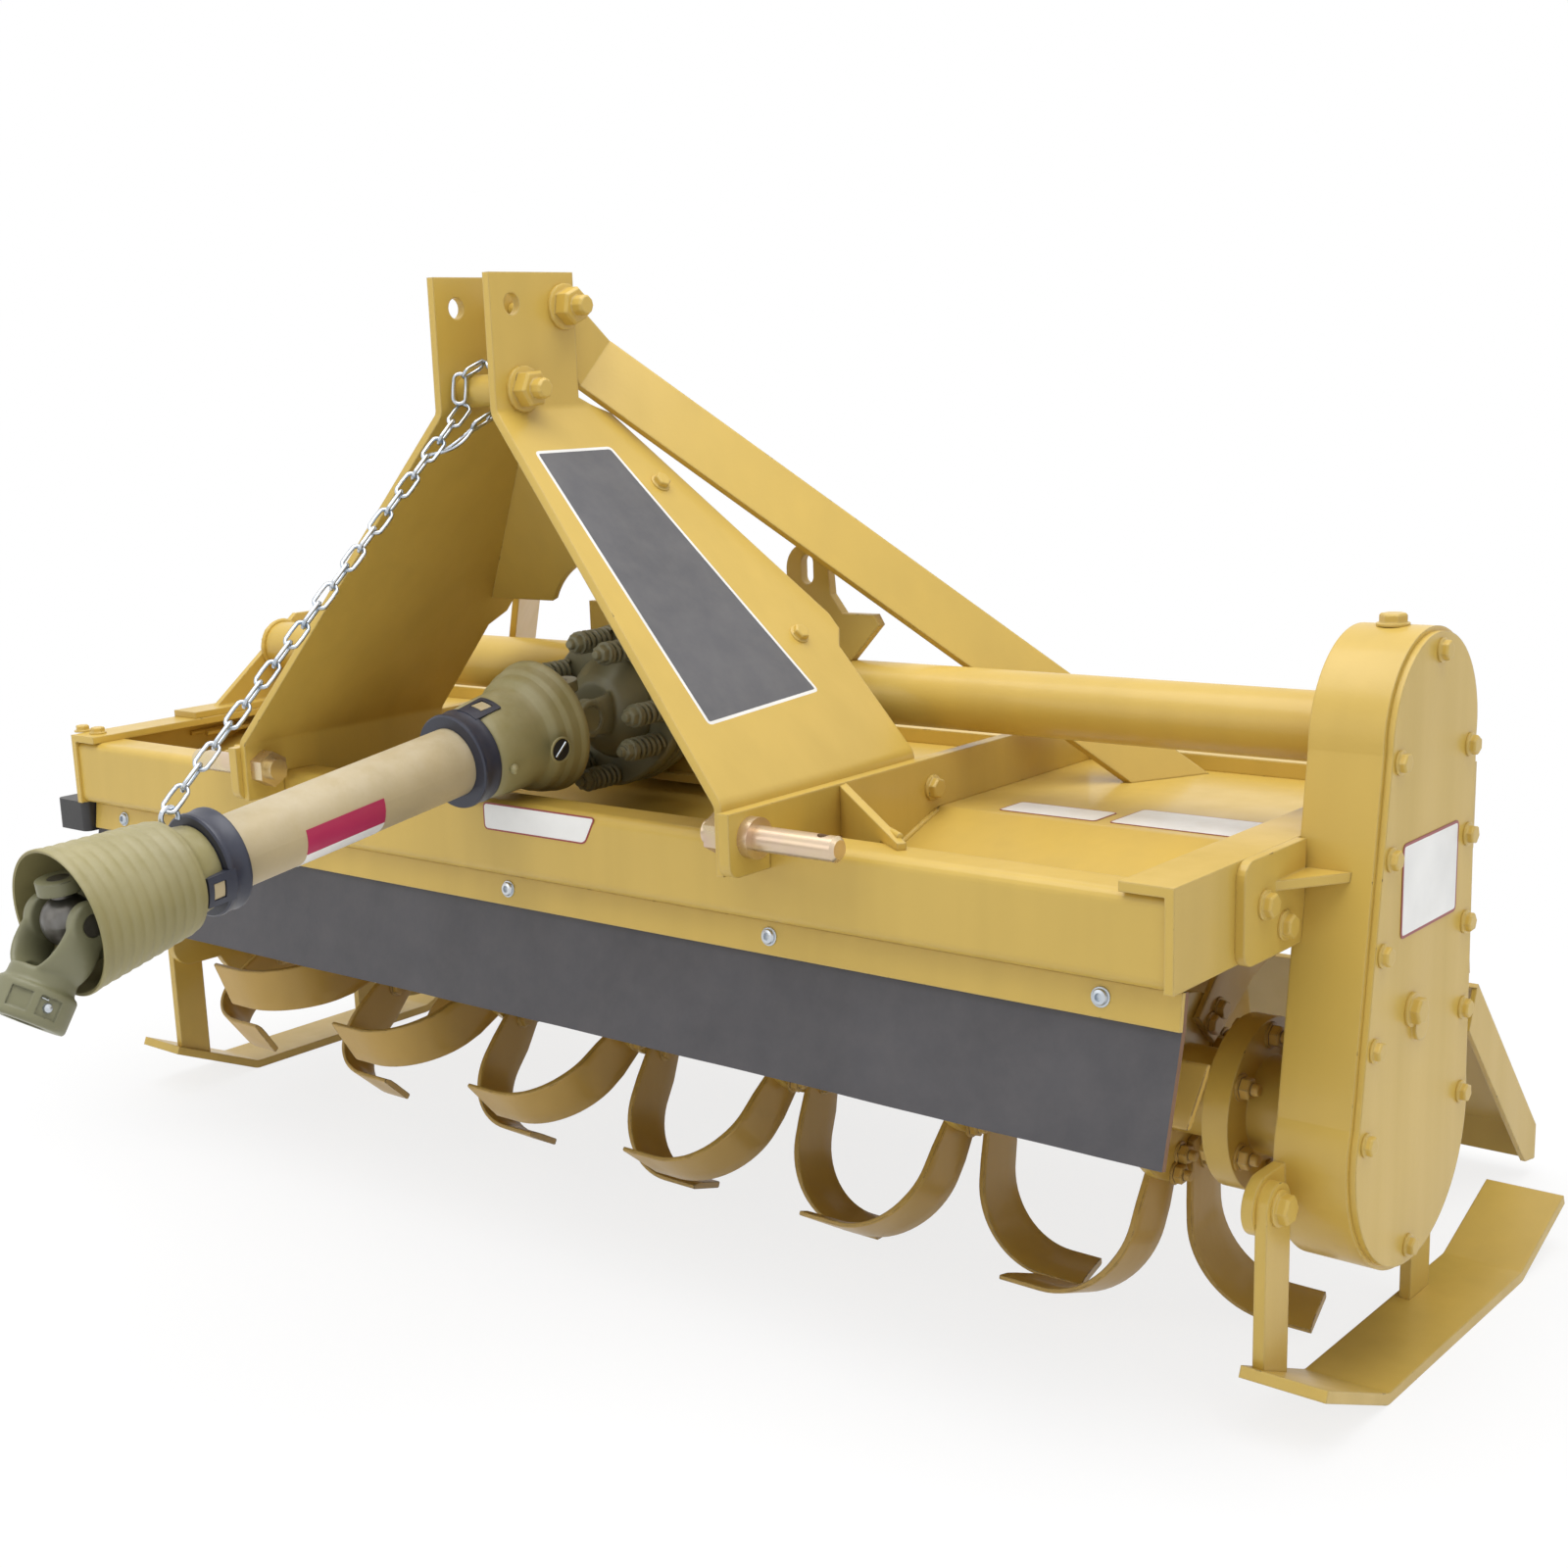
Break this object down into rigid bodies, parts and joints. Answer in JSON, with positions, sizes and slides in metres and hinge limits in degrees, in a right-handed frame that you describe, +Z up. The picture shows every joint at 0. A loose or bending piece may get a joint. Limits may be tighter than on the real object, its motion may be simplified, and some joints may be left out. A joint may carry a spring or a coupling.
{
  "type": "three-point rotary tiller",
  "caption": "Gear-driven rotary tiller with A-frame mast, lower hitch pins, guarded driveline, side gear case, tined rotor under a sheet hood, hinged tailboard and side skids.",
  "frame": {"origin": "middle of the footprint, on the ground plane under the skid soles", "axes": "+Z up, +Y to the rear (tailboard), -Y to the hitch and tractor, +X to the side gear case"},
  "size_m": [1.6, 1.3474, 0.961],
  "materials": {
    "paint": "glossy ochre-yellow enamel over rolled and bent steel",
    "tine_paint": "ochre dip paint over forged spring-steel blades",
    "zinc_gold": "yellow-passivated zinc on turned steel",
    "rubber": "matte grey rubber sheet",
    "block_black": "moulded black rubber-like block",
    "clutch_green": "olive-grey painted forged and cast iron",
    "steel": "ground bare steel",
    "chain_zinc": "bright zinc-plated round wire",
    "guard": "tan-yellow moulded polyethylene",
    "collar": "blue-black moulded nylon"
  },
  "bodies": {
    "frame": {"front_beam": "paint", "end_rail_left": "paint", "end_rail_right": "paint", "rear_rail": "paint", "hood": "paint", "hood_back": "paint", "flap_clamp": "paint", "front_flap": "rubber", "hitch_rail_left": "paint", "hitch_rail_right": "paint", "rail_gussets": "paint", "lower_pin_left": "zinc_gold", "lower_pin_right": "zinc_gold", "mast_left": "paint", "mast_right": "paint", "mast_web": "paint", "mast_spacer": "paint", "brace_left": "paint", "brace_right": "paint", "brace_bolt": "paint", "gearbox": "paint", "gearbox_saddle": "paint", "cross_tube": "paint", "lift_plate": "paint", "tube_bracket": "paint", "side_plate": "paint", "rotor_bearing": "paint", "gear_case": "paint", "case_cover": "paint", "case_bracket": "paint", "skid_left": "paint", "skid_right": "paint", "skid_straps_left": "paint", "skid_straps_right": "paint", "end_block": "block_black", "tail_hinges": "paint", "slip_clutch": "clutch_green", "clutch_springs": "clutch_green", "clutch_yoke": "clutch_green", "chain": "chain_zinc"},
    "rotor": {"rotor_shaft": "paint", "tines": "tine_paint"},
    "tailboard": {"tailboard": "paint"},
    "driveline": {"rear_cross": "steel", "rear_yoke": "clutch_green", "drive_shaft": "steel", "front_inner_yoke": "clutch_green", "guard_tube": "guard", "guard_cones": "guard", "guard_collars": "collar"},
    "front_cross": {"front_cross": "steel"},
    "front_yoke": {"front_yoke": "clutch_green"}
  },
  "joints": [
    {"name": "rotor_spin", "type": "hinge", "parent": "frame", "child": "rotor", "pos_m": [0, 0.15449, 0.219], "axis": [1, 0, 0], "continuous": true},
    {"name": "tailboard_lift", "type": "hinge", "parent": "frame", "child": "tailboard", "pos_m": [0, 0.47849, 0.266], "axis": [1, 0, 0], "range_deg": [0, 60]},
    {"name": "driveline_lift", "type": "hinge", "parent": "frame", "child": "driveline", "pos_m": [0, -0.02551, 0.54], "axis": [-1, 0, 0], "range_deg": [0, 20], "deforming": ["chain"]},
    {"name": "front_cross_swing", "type": "hinge", "parent": "driveline", "child": "front_cross", "pos_m": [0, -0.59704, 0.46069], "axis": [0, -0.1374, 0.9905], "range_deg": [-12, 12]},
    {"name": "front_yoke_tilt", "type": "hinge", "parent": "front_cross", "child": "front_yoke", "pos_m": [0, -0.59704, 0.46069], "axis": [-1, 0, 0], "range_deg": [0, 70]}
  ]
}
